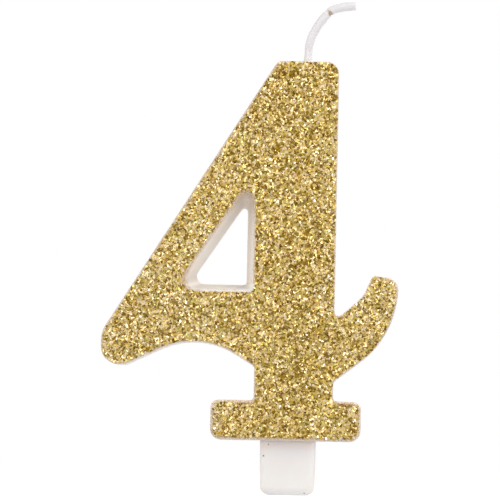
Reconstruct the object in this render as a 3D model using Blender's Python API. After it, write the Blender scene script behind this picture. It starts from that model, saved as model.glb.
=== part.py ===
"""Number birthday candle: a cast wax digit 4 with a bent wick, a glitter front and a cake peg.

Lengths in this file are millimetres, turned into metres where vertices are made.
X runs to the digit's right, Y from its glitter front to its plain back, Z up.
The origin is the centre of the peg's flat bottom face.
"""
import math

import bmesh
import bpy
from mathutils import Vector

MM = 0.001
GAP = 0.3                      # room left between two pieces that touch

# --- Digit -------------------------------------------------------------------
PEG_LENGTH = 10.0              # peg that shows below the foot
DIGIT_HEIGHT = 70.0
THICKNESS = 11.0               # front of the glitter to the back of the wax
UNDERSIDE = PEG_LENGTH
TOP = PEG_LENGTH + DIGIT_HEIGHT
FRONT = -THICKNESS / 2
BACK = THICKNESS / 2

FOOT_LEFT, FOOT_RIGHT = -14.4, 13.35
FOOT_TOP = 17.4
STEM_LEFT, STEM_RIGHT = -6.5, 8.15
SLANT_DEG = 58.0               # slope of the digit's left side
TOP_LEFT = -3.2                # where the slanted side would meet the top
ARM_LEFT = -34.8               # left end of the crossbar
ARM_BOTTOM = 23.5
ARC_STEP_DEG = 9.0             # longest step along a rounded corner

# --- Counter, the triangular hole --------------------------------------------
COUNTER_RIGHT, COUNTER_BOTTOM = -7.0, 37.5
COUNTER_SLANT_DEG = 56.0
COUNTER_LEFT = -21.5           # where its slanted side would meet its bottom
COUNTER_DRAFT = 1.35           # how far each wall leans in from front to back
COUNTER_FRONT_RADII = (2.0, 0.8, 1.55)   # left, right and top corner
COUNTER_BACK_RADII = (1.2, 0.7, 0.5)

# --- Front coat ----------------------------------------------------------------
GLITTER_THICKNESS = 0.35
GLUE_THICKNESS = 0.2
COAT_GAP = 0.15
COAT_INSET = 0.25              # coat's edge, in from the wax's outer edge
COUNTER_COAT_INSET = 0.4       # coat's edge, back from the counter's edge
EDGE_ROUND = 0.4               # rounding of the cast edge at the front
BACK_ROUND = 0.25

# --- Peg -------------------------------------------------------------------------
PEG_WIDTH_TOP, PEG_WIDTH_TIP = 10.3, 10.1
PEG_THICKNESS = 6.4
PEG_TIP_ROUND = 1.4            # rounding seen from the front
PEG_EDGE_ROUND = 1.1           # rounding of the four long edges
TENON_WIDTH, TENON_THICKNESS, TENON_LENGTH = 7.0, 3.6, 6.0

# --- Wick --------------------------------------------------------------------------
WICK_DIAMETER = 1.5
WICK_X = 2.35                  # where it leaves the digit's top
WICK_DEPTH = 60.0              # length cast into the stem
EXIT_HINGE_Z = TOP + 1.7       # the wick bends here, just above the wax
KINK = (6.05, 89.5)            # x, z of the visible fold
WICK_END = (10.9, 90.7)
NECK_PULLS = ((2.3, 84.6), (3.9, 87.1))     # control points of the curve up to the kink
TIP_PULLS = ((7.25, 90.35), (9.05, 90.6))   # and of the curve past it
HINGE_GAP = 0.4                # between two rounded wick ends at a bend
WICK_SIDES = 12


def clear_scene():
    for obj in list(bpy.data.objects):
        bpy.data.objects.remove(obj, do_unlink=True)


def material(name, color, roughness, metallic=0.0):
    """A Principled material in one linear colour."""
    mat = bpy.data.materials.new(name)
    mat.use_nodes = True
    shader = mat.node_tree.nodes["Principled BSDF"]
    shader.inputs["Base Color"].default_value = (*color, 1.0)
    shader.inputs["Roughness"].default_value = roughness
    shader.inputs["Metallic"].default_value = metallic
    return mat


def digit_corners():
    """The digit's outline: corners as (x, z, radius), counterclockwise from the front."""
    slope = math.tan(math.radians(SLANT_DEG))
    slant_knee = (ARM_LEFT, TOP - (TOP_LEFT - ARM_LEFT) * slope)
    return [
        (FOOT_LEFT, UNDERSIDE, 2.0),
        (FOOT_RIGHT, UNDERSIDE, 2.1),
        (FOOT_RIGHT, FOOT_TOP, 1.4),
        (STEM_RIGHT, FOOT_TOP + 0.1, 0.5),
        (STEM_RIGHT, 21.0, 0.8),
        (19.1, 29.4, 17.0),        # outer sweep of the hook
        (20.0, 40.1, 2.3),
        (15.0, 40.8, 0.8),
        (13.3, 36.9, 4.0),         # inner sweep of the hook
        (STEM_RIGHT, 32.3, 0.7),
        (STEM_RIGHT, TOP, 2.2),
        (TOP_LEFT, TOP, 1.6),
        (*slant_knee, 5.5),
        (ARM_LEFT, ARM_BOTTOM, 3.3),
        (-30.2, ARM_BOTTOM, 1.5),
        (-16.7, 29.9, 14.5),       # arch under the crossbar
        (STEM_LEFT, 23.6, 0.8),
        (STEM_LEFT, FOOT_TOP, 0.5),
        (FOOT_LEFT, FOOT_TOP, 1.5),
    ]


def counter_corners():
    """The counter's outline at the front, counterclockwise from the front."""
    slope = math.tan(math.radians(COUNTER_SLANT_DEG))
    apex = COUNTER_BOTTOM + (COUNTER_RIGHT - COUNTER_LEFT) * slope
    places = [(COUNTER_LEFT, COUNTER_BOTTOM), (COUNTER_RIGHT, COUNTER_BOTTOM), (COUNTER_RIGHT, apex)]
    return [(x, z, radius) for (x, z), radius in zip(places, COUNTER_FRONT_RADII)]


def moved_in(corners, distance):
    """The same corners with every edge moved towards the inside."""
    count = len(corners)
    moved = []
    for i in range(count):
        before = Vector(corners[i - 1][:2])
        here = Vector(corners[i][:2])
        after = Vector(corners[(i + 1) % count][:2])
        along_in = (here - before).normalized()
        along_out = (after - here).normalized()
        turn = along_in.cross(along_out)
        normal_in = Vector((-along_in.y, along_in.x))
        normal_out = Vector((-along_out.y, along_out.x))
        shift = distance * (normal_in + normal_out) / (1.0 + normal_in.dot(normal_out))
        radius = corners[i][2] - distance * math.copysign(1.0, turn)
        moved.append((here.x + shift.x, here.y + shift.y, max(radius, 0.15)))
    return moved


def rounded(corners, distance=0.0):
    """Points (x, z) of an outline whose corners are arcs, moved in by a distance."""
    count = len(corners)
    inner = moved_in(corners, distance)
    points = []
    for i in range(count):
        before = Vector(inner[i - 1][:2])
        here = Vector(inner[i][:2])
        after = Vector(inner[(i + 1) % count][:2])
        along_in = (here - before).normalized()
        along_out = (after - here).normalized()
        turn = math.atan2(along_in.cross(along_out), along_in.dot(along_out))
        radius = inner[i][2]
        start = here - along_in * radius * math.tan(abs(turn) / 2)
        side = math.copysign(1.0, turn)
        centre = start + Vector((-along_in.y, along_in.x)) * radius * side
        steps = max(3, math.ceil(math.degrees(abs(turn)) / ARC_STEP_DEG))
        for step in range(steps + 1):
            angle = turn * step / steps
            arm = start - centre
            cos_a, sin_a = math.cos(angle), math.sin(angle)
            points.append((
                centre.x + arm.x * cos_a - arm.y * sin_a,
                centre.y + arm.x * sin_a + arm.y * cos_a,
            ))
    return points


def loft(name, rings, mat, origin=(0.0, 0.0, 0.0)):
    """A closed solid through rings of points, each ring with the same count."""
    bm = bmesh.new()
    centre = Vector(origin)
    loops = []
    for ring in rings:
        loops.append([bm.verts.new((Vector(point) - centre) * MM) for point in ring])
    count = len(loops[0])
    for low, high in zip(loops, loops[1:]):
        for i in range(count):
            j = (i + 1) % count
            bm.faces.new((low[i], low[j], high[j], high[i]))
    bm.faces.new(list(reversed(loops[0])))
    bm.faces.new(loops[-1])
    bmesh.ops.recalc_face_normals(bm, faces=bm.faces)
    mesh = bpy.data.meshes.new(name)
    bm.to_mesh(mesh)
    bm.free()
    mesh.shade_smooth()
    mesh.set_sharp_from_angle(angle=math.radians(35))
    mesh.materials.append(mat)
    obj = bpy.data.objects.new(name, mesh)
    bpy.context.scene.collection.objects.link(obj)
    obj.location = centre * MM
    return obj


def plate(name, corners, layers, mat):
    """A solid whose outline is known at some depths: layers are (y, distance moved in)."""
    rings = []
    for depth, distance in layers:
        rings.append([(x, depth, z) for x, z in rounded(corners, distance)])
    return loft(name, rings, mat)


def cut(target, cutter):
    """Takes the cutter's shape out of the target and hides the cutter."""
    boolean = target.modifiers.new("cut_" + cutter.name, "BOOLEAN")
    boolean.object = cutter
    boolean.operation = "DIFFERENCE"
    boolean.solver = "EXACT"
    cutter.hide_render = True
    cutter.display_type = "WIRE"


def rounded_box_ring(width, thickness, radius, z, centre_x=0.0):
    """A level rectangle with round corners, as a ring of points."""
    half_w, half_t = width / 2, thickness / 2
    corners = [
        (-half_w, -half_t, radius),
        (half_w, -half_t, radius),
        (half_w, half_t, radius),
        (-half_w, half_t, radius),
    ]
    return [(centre_x + x, y, z) for x, y in rounded(corners)]


def wax_front():
    """Depth of the cast face under the glue and the glitter."""
    return FRONT + GLITTER_THICKNESS + GLUE_THICKNESS + 2 * COAT_GAP


def make_counter_cutter(mat):
    """The counter's space in the wax: it narrows from front to back."""
    reach = 1.0
    lean = COUNTER_DRAFT / THICKNESS
    wide = moved_in(counter_corners(), -reach * lean)
    narrow = moved_in(counter_corners(), (THICKNESS + reach) * lean)
    narrow = [(x, z, radius) for (x, z, _), radius in zip(narrow, COUNTER_BACK_RADII)]
    rings = [
        [(x, FRONT - reach, z) for x, z in rounded(wide)],
        [(x, BACK + reach, z) for x, z in rounded(narrow)],
    ]
    return loft("counter_cutter", rings, mat)


def make_coat_cutter(mat):
    """The counter's space in the front coat, which stops short of the counter's edge."""
    layers = [(FRONT - 1.0, -COUNTER_COAT_INSET), (0.0, -COUNTER_COAT_INSET)]
    return plate("coat_cutter", counter_corners(), layers, mat)


def make_wax_body(mat):
    face = wax_front()
    layers = [
        (face, EDGE_ROUND),
        (face + 0.13 * EDGE_ROUND, 0.5 * EDGE_ROUND),
        (face + 0.5 * EDGE_ROUND, 0.13 * EDGE_ROUND),
        (face + EDGE_ROUND, 0.0),
        (BACK - BACK_ROUND, 0.0),
        (BACK, BACK_ROUND),
    ]
    return plate("wax_body", digit_corners(), layers, mat)


def make_wick_bore_cutter(mat):
    radius = WICK_DIAMETER / 2 + GAP
    bottom = TOP - WICK_DEPTH - GAP
    rings = []
    for z in (bottom, TOP + 1.0):
        ring = []
        for i in range(WICK_SIDES):
            angle = 2 * math.pi * i / WICK_SIDES
            ring.append((WICK_X + radius * math.cos(angle), radius * math.sin(angle), z))
        rings.append(ring)
    return loft("wick_bore_cutter", rings, mat)


def make_socket_cutter(mat):
    width = TENON_WIDTH + 2 * GAP
    thickness = TENON_THICKNESS + 2 * GAP
    rings = []
    for z in (UNDERSIDE - 1.0, UNDERSIDE + TENON_LENGTH + GAP):
        rings.append(rounded_box_ring(width, thickness, 1.0, z))
    return loft("socket_cutter", rings, mat)


def make_coat(name, near, thickness, mat, cutter):
    """One layer of the front coat, from a depth towards the front."""
    layers = [
        (near, COAT_INSET),
        (near - thickness, COAT_INSET + 0.1),
    ]
    coat = plate(name, digit_corners(), layers, mat)
    cut(coat, cutter)
    return coat


def make_cake_peg(mat):
    """Tapered peg with a rounded tip, and a tenon that the wax is cast around."""
    rings = []
    tip_steps = 5
    for step in range(tip_steps + 1):
        angle = math.radians(90.0 * step / tip_steps)
        narrower = PEG_TIP_ROUND * (1.0 - math.sin(angle))
        thinner = 0.6 * narrower
        z = PEG_TIP_ROUND * (1.0 - math.cos(angle))
        rings.append(rounded_box_ring(
            PEG_WIDTH_TIP - 2 * narrower, PEG_THICKNESS - 2 * thinner, PEG_EDGE_ROUND, z))
    shoulder = UNDERSIDE - GAP
    rings.append(rounded_box_ring(PEG_WIDTH_TOP, PEG_THICKNESS, PEG_EDGE_ROUND, shoulder))
    rings.append(rounded_box_ring(TENON_WIDTH, TENON_THICKNESS, 0.7, shoulder))
    rings.append(rounded_box_ring(
        TENON_WIDTH, TENON_THICKNESS, 0.7, UNDERSIDE + TENON_LENGTH))
    return loft("cake_peg", rings, mat)


def bezier(start, control_a, control_b, end, t):
    """A point (x, z) on a cubic Bezier curve."""
    s = 1.0 - t
    return (s ** 3 * Vector(start) + 3 * s * s * t * Vector(control_a)
            + 3 * s * t * t * Vector(control_b) + t ** 3 * Vector(end))


def wick_path():
    """Centre line (x, z) of the whole wick, from its foot in the stem to its cut end."""
    top = (WICK_X, EXIT_HINGE_Z)
    neck = [bezier(top, *NECK_PULLS, KINK, i / 12) for i in range(13)]
    tip = [bezier(KINK, *TIP_PULLS, WICK_END, i / 10) for i in range(1, 11)]
    return [Vector((WICK_X, TOP - WICK_DEPTH))] + neck + tip


def length_of(path):
    return sum((b - a).length for a, b in zip(path, path[1:]))


def point_on(path, distance):
    """Point and direction at a distance along a path of short straight runs."""
    for a, b in zip(path, path[1:]):
        run = (b - a).length
        if distance <= run or b is path[-1]:
            direction = (b - a).normalized()
            return a + direction * distance, direction
        distance -= run


def rod_stations(start, end, round_start, round_end):
    """Distances along a rod and its radius there, from ball or flat ends."""
    radius = WICK_DIAMETER / 2
    ball = [(radius * (1 - math.cos(a)), radius * math.sin(a))
            for a in (math.radians(d) for d in (20, 42, 65, 90))]
    first = [(start + s, r) for s, r in ball] if round_start else [(start, radius)]
    last = [(end - s, r) for s, r in reversed(ball)] if round_end else [(end, radius)]
    steps = max(1, round((last[0][0] - first[-1][0]) / 0.8))
    middle = []
    if end - start < 20.0:
        for i in range(1, steps):
            middle.append((first[-1][0] + (last[0][0] - first[-1][0]) * i / steps, radius))
    return first + middle + last


def make_rod(name, start, end, round_start, round_end, origin, mat):
    """A round length of wick between two distances along its path."""
    path = wick_path()
    rings = []
    for distance, radius in rod_stations(start, end, round_start, round_end):
        centre, direction = point_on(path, distance)
        normal = Vector((-direction.y, direction.x))
        ring = []
        for i in range(WICK_SIDES):
            angle = 2 * math.pi * i / WICK_SIDES
            across = radius * math.cos(angle)
            ring.append((centre.x + across * normal.x, radius * math.sin(angle),
                         centre.y + across * normal.y))
        rings.append(ring)
    return loft(name, rings, mat, origin)


def make_wick(mat):
    """Three lengths of one wick, split where it bends, each with its bend as its origin."""
    path = wick_path()
    exit_bend = WICK_DEPTH + EXIT_HINGE_Z - TOP
    kink_bend = exit_bend + length_of(path[1:14])
    end = length_of(path)
    half = HINGE_GAP / 2
    foot = (WICK_X, 0.0, TOP - WICK_DEPTH)
    exit_point = (WICK_X, 0.0, EXIT_HINGE_Z)
    kink_point = (KINK[0], 0.0, KINK[1])
    core = make_rod("wick_core", 0.0, exit_bend - half, False, True, foot, mat)
    neck = make_rod("wick_neck", exit_bend + half, kink_bend - half, True, True, exit_point, mat)
    tip = make_rod("wick_tip", kink_bend + half, end, True, False, kink_point, mat)
    hang(neck, core)
    hang(tip, neck)
    return core


def hang(child, parent):
    """Parents a piece and keeps its place."""
    bpy.context.view_layer.update()
    child.parent = parent
    child.matrix_parent_inverse = parent.matrix_world.inverted()


def make_materials():
    return {
        "wax": material("wax", (0.84, 0.80, 0.77), 0.45),
        "glue": material("glue", (0.72, 0.60, 0.36), 0.35),
        "glitter": material("glitter", (0.50, 0.35, 0.12), 0.3, 1.0),
        "peg": material("peg", (0.84, 0.81, 0.79), 0.4),
        "wick": material("wick", (0.80, 0.79, 0.79), 0.7),
    }


def build_candle():
    mats = make_materials()
    body = make_wax_body(mats["wax"])
    for make_cutter in (make_counter_cutter, make_wick_bore_cutter, make_socket_cutter):
        cut(body, make_cutter(mats["wax"]))
    hole = make_coat_cutter(mats["glue"])
    glue_back = wax_front() - COAT_GAP
    glitter_back = glue_back - GLUE_THICKNESS - COAT_GAP
    glue = make_coat("glue_film", glue_back, GLUE_THICKNESS, mats["glue"], hole)
    glitter = make_coat("glitter_layer", glitter_back, GLITTER_THICKNESS, mats["glitter"], hole)
    for piece in (glue, glitter, make_cake_peg(mats["peg"]), make_wick(mats["wick"])):
        hang(piece, body)


clear_scene()
build_candle()
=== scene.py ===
import math

import bmesh
import bpy
import numpy as np
from mathutils import Matrix, Vector, noise
from mathutils.geometry import tessellate_polygon


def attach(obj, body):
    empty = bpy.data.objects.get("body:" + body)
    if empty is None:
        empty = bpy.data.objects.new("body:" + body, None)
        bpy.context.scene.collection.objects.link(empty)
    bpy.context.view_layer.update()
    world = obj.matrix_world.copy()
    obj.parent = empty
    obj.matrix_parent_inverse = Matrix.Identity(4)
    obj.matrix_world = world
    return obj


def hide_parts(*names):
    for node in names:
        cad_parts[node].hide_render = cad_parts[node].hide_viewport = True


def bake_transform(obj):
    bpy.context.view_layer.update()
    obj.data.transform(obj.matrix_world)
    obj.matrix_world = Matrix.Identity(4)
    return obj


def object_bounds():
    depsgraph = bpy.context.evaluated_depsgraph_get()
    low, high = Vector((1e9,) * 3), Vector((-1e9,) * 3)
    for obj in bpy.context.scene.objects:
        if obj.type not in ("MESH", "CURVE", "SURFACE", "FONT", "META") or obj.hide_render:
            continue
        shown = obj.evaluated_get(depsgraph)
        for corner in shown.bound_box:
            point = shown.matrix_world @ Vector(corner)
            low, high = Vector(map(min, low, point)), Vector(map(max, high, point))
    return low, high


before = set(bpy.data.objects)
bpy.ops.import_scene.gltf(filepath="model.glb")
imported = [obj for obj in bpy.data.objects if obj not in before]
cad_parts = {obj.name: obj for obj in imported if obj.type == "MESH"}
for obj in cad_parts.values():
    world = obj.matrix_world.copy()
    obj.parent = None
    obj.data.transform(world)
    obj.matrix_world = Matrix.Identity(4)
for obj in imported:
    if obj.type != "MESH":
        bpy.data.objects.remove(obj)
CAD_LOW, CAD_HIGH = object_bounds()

MM = 0.001
SEED = 4

# --- The digit, as in the CAD ---------------------------------------------------
UNDERSIDE, TOP = 10.0, 80.0
FRONT, BACK = -5.5, 5.5
WAX_FRONT = -5.15              # the cast face, under the glue and the flakes
FOOT_LEFT, FOOT_RIGHT, FOOT_TOP = -14.4, 13.35, 17.4
STEM_LEFT, STEM_RIGHT = -6.5, 8.15
SLANT_DEG, TOP_LEFT = 58.0, -3.2
ARM_LEFT, ARM_BOTTOM = -34.8, 23.5
COUNTER_RIGHT, COUNTER_BOTTOM, COUNTER_LEFT = -7.0, 37.5, -21.5
COUNTER_SLANT_DEG, COUNTER_DRAFT = 56.0, 1.35
COUNTER_FRONT_RADII = (2.0, 0.8, 1.55)   # left, right and top corner
LEAST_RADIUS = 0.15
ARC_STEP_DEG, PRISM_STEP_DEG, COARSE_STEP_DEG = 3.0, 6.0, 9.0

# --- The counter's back, a little fuller than in the CAD, as the photo shows it -----
COUNTER_BACK_RADII = (1.4, 0.3, 0.5)
COUNTER_SLANT_FILL = 0.2       # the slanted wall's extra fullness

# --- The wick, as in the CAD ------------------------------------------------------
WICK_X, WICK_FOOT_Z = 2.35, 20.0
EXIT_HINGE_Z = TOP + 1.7
KINK = (6.05, 89.5)
WICK_END = (10.9, 90.7)
NECK_PULLS = ((2.3, 84.6), (3.9, 87.1))     # control points (x, z) of its two curves
TIP_PULLS = ((7.25, 90.35), (9.05, 90.6))


# ============================== outlines ==========================================
def digit_corners():
    """The digit's outline: corners as (x, z, radius), counterclockwise from the front."""
    slope = math.tan(math.radians(SLANT_DEG))
    return [
        (FOOT_LEFT, UNDERSIDE, 2.0),
        (FOOT_RIGHT, UNDERSIDE, 2.1),
        (FOOT_RIGHT, FOOT_TOP, 1.4),
        (STEM_RIGHT, FOOT_TOP + 0.1, 0.5),
        (STEM_RIGHT, 21.0, 0.8),
        (19.1, 29.4, 17.0),
        (20.0, 40.1, 2.3),
        (15.0, 40.8, 0.8),
        (13.3, 36.9, 4.0),
        (STEM_RIGHT, 32.3, 0.7),
        (STEM_RIGHT, TOP, 2.2),
        (TOP_LEFT, TOP, 1.6),
        (ARM_LEFT, TOP - (TOP_LEFT - ARM_LEFT) * slope, 5.5),
        (ARM_LEFT, ARM_BOTTOM, 3.3),
        (-30.2, ARM_BOTTOM, 1.5),
        (-16.7, 29.9, 14.5),
        (STEM_LEFT, 23.6, 0.8),
        (STEM_LEFT, FOOT_TOP, 0.5),
        (FOOT_LEFT, FOOT_TOP, 1.5),
    ]


def counter_corners():
    """The counter's outline at the front of the wax."""
    slope = math.tan(math.radians(COUNTER_SLANT_DEG))
    apex = COUNTER_BOTTOM + (COUNTER_RIGHT - COUNTER_LEFT) * slope
    places = [(COUNTER_LEFT, COUNTER_BOTTOM), (COUNTER_RIGHT, COUNTER_BOTTOM), (COUNTER_RIGHT, apex)]
    return [(x, z, radius) for (x, z), radius in zip(places, COUNTER_FRONT_RADII)]


def corner_runs(corners):
    """For each corner: its place, its radius, and the unit directions into it and out of it."""
    places = [Vector(corner[:2]) for corner in corners]
    for i, here in enumerate(places):
        along_in = (here - places[i - 1]).normalized()
        along_out = (places[(i + 1) % len(places)] - here).normalized()
        yield here, corners[i][2], along_in, along_out


def moved_in(corners, distance):
    """The same corners with every edge moved towards the inside."""
    moved = []
    for here, old_radius, along_in, along_out in corner_runs(corners):
        turn = along_in.cross(along_out)
        normal_in = Vector((-along_in.y, along_in.x))
        normal_out = Vector((-along_out.y, along_out.x))
        shift = distance * (normal_in + normal_out) / (1.0 + normal_in.dot(normal_out))
        radius = old_radius - distance * math.copysign(1.0, turn)
        moved.append((here.x + shift.x, here.y + shift.y, max(radius, LEAST_RADIUS)))
    return moved


def rounded(corners, step_deg=ARC_STEP_DEG):
    """Points (x, z) of an outline whose corners are arcs."""
    points = []
    for here, radius, along_in, along_out in corner_runs(corners):
        turn = math.atan2(along_in.cross(along_out), along_in.dot(along_out))
        start = here - along_in * radius * math.tan(abs(turn) / 2)
        centre = start + Vector((-along_in.y, along_in.x)) * math.copysign(radius, turn)
        steps = max(3, math.ceil(math.degrees(abs(turn)) / step_deg))
        for step in range(steps + 1):
            arm = Matrix.Rotation(turn * step / steps, 2) @ (start - centre)
            points.append((centre.x + arm.x, centre.y + arm.y))
    return points


def resampled(outline, spacing):
    """A closed outline as points about a spacing apart."""
    points = []
    for (ax, az), (bx, bz) in zip(outline, outline[1:] + outline[:1]):
        steps = max(1, round(math.hypot(bx - ax, bz - az) / spacing))
        for i in range(steps):
            points.append((ax + (bx - ax) * i / steps, az + (bz - az) * i / steps))
    return points


def nearest_edge(points, outline):
    """Distance of each point to an outline, and the unit direction to the nearest place on it."""
    a = np.array(outline)
    b = np.roll(a, -1, axis=0)
    best = np.full(len(points), 1e9)
    towards = np.zeros((len(points), 2))
    for start, end in zip(a, b):
        run = end - start
        share = np.clip((points - start) @ run / max(run @ run, 1e-12), 0.0, 1.0)
        gap = start + share[:, None] * run - points
        length = np.hypot(gap[:, 0], gap[:, 1])
        closer = length < best
        best[closer] = length[closer]
        towards[closer] = gap[closer] / np.maximum(length[closer], 1e-9)[:, None]
    return best, towards


def is_inside(points, outline):
    """Which points an outline holds."""
    inside = np.zeros(len(points), bool)
    x, z = points[:, 0], points[:, 1]
    for (ax, az), (bx, bz) in zip(outline, outline[1:] + outline[:1]):
        crosses = (az > z) != (bz > z)
        with np.errstate(divide="ignore", invalid="ignore"):
            at = ax + (z - az) * (bx - ax) / (bz - az)
        inside ^= crosses & (x < at)
    return inside


DIGIT = rounded(digit_corners())


# ============================== mesh helpers ======================================
def new_object(name, mesh, *materials):
    for material in materials:
        mesh.materials.append(material)
    obj = bpy.data.objects.new(name, mesh)
    bpy.context.scene.collection.objects.link(obj)
    return obj


def mesh_of(name, vertices, faces, smooth=True):
    """A mesh from vertices in millimetres."""
    mesh = bpy.data.meshes.new(name)
    mesh.from_pydata((np.asarray(vertices, float) * MM).tolist(), [], faces)
    mesh.update()
    if smooth:
        mesh.shade_smooth()
    return mesh


def lofted(name, rings):
    """A closed mesh through rings of points, each ring with the same count."""
    count = len(rings[0])
    vertices = [point for ring in rings for point in ring]
    faces = []
    for level in range(len(rings) - 1):
        for i in range(count):
            j = (i + 1) % count
            low, high = level * count, (level + 1) * count
            faces.append((low + i, low + j, high + j, high + i))
    faces.append(tuple(reversed(range(count))))
    last = (len(rings) - 1) * count
    faces.append(tuple(range(last, last + count)))
    mesh = mesh_of(name, vertices, faces)
    outward(mesh)
    return mesh


def outward(mesh):
    """Turns a closed mesh's faces to point out."""
    bm = bmesh.new()
    bm.from_mesh(mesh)
    bmesh.ops.recalc_face_normals(bm, faces=bm.faces)
    bm.to_mesh(mesh)
    bm.free()


def applied(obj):
    """Replaces an object's mesh with what its modifiers make of it."""
    graph = bpy.context.evaluated_depsgraph_get()
    made = bpy.data.meshes.new_from_object(obj.evaluated_get(graph))
    obj.modifiers.clear()
    old = obj.data
    obj.data = made
    bpy.data.meshes.remove(old)


def boolean(obj, other, operation):
    modifier = obj.modifiers.new(operation.lower(), "BOOLEAN")
    modifier.object = other
    modifier.operation = operation
    modifier.solver = "EXACT"
    applied(obj)
    bpy.data.objects.remove(other, do_unlink=True)


def remeshed(obj, voxel, smoothing):
    """Even faces of one size all over, with the stair steps smoothed away."""
    modifier = obj.modifiers.new("even", "REMESH")
    modifier.mode = "VOXEL"
    modifier.voxel_size = voxel * MM
    soften = obj.modifiers.new("soften", "SMOOTH")
    soften.factor = 0.5
    soften.iterations = smoothing
    applied(obj)
    obj.data.shade_smooth()


def coordinates(mesh):
    points = np.zeros(len(mesh.vertices) * 3)
    mesh.vertices.foreach_get("co", points)
    return points.reshape(-1, 3)


def vertex_normals(mesh):
    normals = np.zeros(len(mesh.vertices) * 3)
    mesh.vertices.foreach_get("normal", normals)
    return normals.reshape(-1, 3)


def rolling(points, size, seed):
    """Smooth noise from -1 to 1 at points in millimetres, with hills about a size across."""
    offset = Vector((seed * 17.3, seed * 5.1, seed * 9.7))
    return np.array([noise.noise(Vector(p) / size + offset) for p in points])


def ease(value):
    """A smooth step from 0 to 1."""
    share = np.clip(value, 0.0, 1.0)
    return share * share * (3 - 2 * share)


# ============================== materials =========================================
class Nodes:
    """A few short words for building a material's node tree."""

    def __init__(self, name):
        self.material = bpy.data.materials.new(name)
        self.material.use_nodes = True
        self.tree = self.material.node_tree
        self.shader = self.tree.nodes["Principled BSDF"]
        self.place = self.tree.nodes.new("ShaderNodeTexCoord").outputs["Object"]

    def set(self, **values):
        for name, value in values.items():
            self.shader.inputs[name.replace("_", " ")].default_value = value

    def link(self, source, name):
        self.tree.links.new(source, self.shader.inputs[name])

    def noise(self, size_mm, detail=3.0, roughness=0.5, stretch=(1.0, 1.0, 1.0)):
        """Noise with features about a size across, in object space."""
        mapping = self.tree.nodes.new("ShaderNodeMapping")
        mapping.inputs["Scale"].default_value = [s / (size_mm * MM) for s in stretch]
        texture = self.tree.nodes.new("ShaderNodeTexNoise")
        texture.inputs["Scale"].default_value = 1.0
        texture.inputs["Detail"].default_value = detail
        texture.inputs["Roughness"].default_value = roughness
        self.tree.links.new(self.place, mapping.inputs["Vector"])
        self.tree.links.new(mapping.outputs["Vector"], texture.inputs["Vector"])
        return texture.outputs["Fac"]

    def ramp(self, source, stops):
        """Colours or greys by value: stops are (position, colour)."""
        node = self.tree.nodes.new("ShaderNodeValToRGB")
        elements = node.color_ramp.elements
        while len(elements) < len(stops):
            elements.new(0.5)
        for element, (position, color) in zip(elements, stops):
            element.position = position
            element.color = (*color, 1.0)
        self.tree.links.new(source, node.inputs["Fac"])
        return node.outputs["Color"]

    def greys(self, source, low, high, start=0.3, end=0.7):
        return self.ramp(source, [(start, (low,) * 3), (end, (high,) * 3)])

    def mix(self, share, first, second, blend="MIX"):
        node = self.tree.nodes.new("ShaderNodeMix")
        node.data_type = "RGBA"
        node.blend_type = blend
        for socket, value in ((node.inputs["Factor"], share), (node.inputs[6], first),
                              (node.inputs[7], second)):
            if isinstance(value, bpy.types.NodeSocket):
                self.tree.links.new(value, socket)
            elif isinstance(value, tuple):
                socket.default_value = (*value, 1.0)
            else:
                socket.default_value = value
        return node.outputs[2]

    def attribute(self, name):
        node = self.tree.nodes.new("ShaderNodeAttribute")
        node.attribute_name = name
        return node.outputs["Fac"]

    def bump(self, height, strength, depth_mm, below=None):
        node = self.tree.nodes.new("ShaderNodeBump")
        node.inputs["Strength"].default_value = strength
        node.inputs["Distance"].default_value = depth_mm * MM
        self.tree.links.new(height, node.inputs["Height"])
        if below is not None:
            self.tree.links.new(below, node.inputs["Normal"])
        return node.outputs["Normal"]


WAX_SHADE, WAX_LIGHT, WAX_FLECK = (0.93, 0.895, 0.87), (0.96, 0.93, 0.91), (0.96, 0.94, 0.925)
PEG_SHADE, PEG_LIGHT = (0.895, 0.895, 0.955), (0.92, 0.92, 0.985)
DUST_AND_SHADE_COLOR = (0.50, 0.28, 0.06)         # glue and gold dust on the wax beside the flakes, and painted shade and reflected gold in the counter
PEG_PAINTED_GLOW_COLOR = (0.80, 0.52, 0.34)     # painted shade and reflected gold at the top of the peg, under the foot
BED_DARK, BED_GOLD, BED_BRIGHT = (0.10, 0.05, 0.004), (0.30, 0.17, 0.025), (0.66, 0.45, 0.12)
COTTON_SHADE, COTTON_LIGHT = (0.775, 0.775, 0.84), (0.835, 0.84, 0.905)
STAIN_TAN = (0.38, 0.24, 0.11)
LIGHT_REACH = (1.0, 0.8, 0.65)          # how far red, green and blue light go in, in proportion


def wax_material():
    """White cast paraffin: milky, softly mottled, satin with a fine orange peel."""
    nodes = Nodes("cast_wax")
    cloud = nodes.noise(9.0, detail=4.0, roughness=0.55)
    fleck = nodes.noise(1.1, detail=3.0, roughness=0.6)
    body = nodes.ramp(cloud, [(0.3, WAX_SHADE), (0.7, WAX_LIGHT)])
    milky = nodes.mix(nodes.greys(fleck, 0.0, 0.35, start=0.45, end=0.75), body, WAX_FLECK)
    grain = nodes.noise(0.3, detail=4.0, roughness=0.7)
    speckle = nodes.greys(grain, 0.25, 1.0, start=0.42, end=0.58)
    # the tint: glue and gold dust by the front edge, and painted shade and reflected gold in the
    # counter
    share = nodes.mix(1.0, nodes.attribute("dust_and_painted_light"), speckle, "MULTIPLY")
    color = nodes.mix(share, milky, DUST_AND_SHADE_COLOR)
    nodes.link(color, "Base Color")
    nodes.link(nodes.greys(fleck, 0.36, 0.52), "Roughness")
    broad = nodes.bump(nodes.noise(2.2, detail=2.0), strength=0.5, depth_mm=0.12)
    peel = nodes.noise(0.35, detail=4.0, roughness=0.6)
    nodes.link(nodes.bump(peel, strength=0.3, depth_mm=0.03, below=broad), "Normal")
    nodes.set(Subsurface_Weight=0.6, Subsurface_Scale=2.5 * MM, IOR=1.44)
    nodes.set(Subsurface_Radius=LIGHT_REACH)
    return nodes.material


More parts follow.
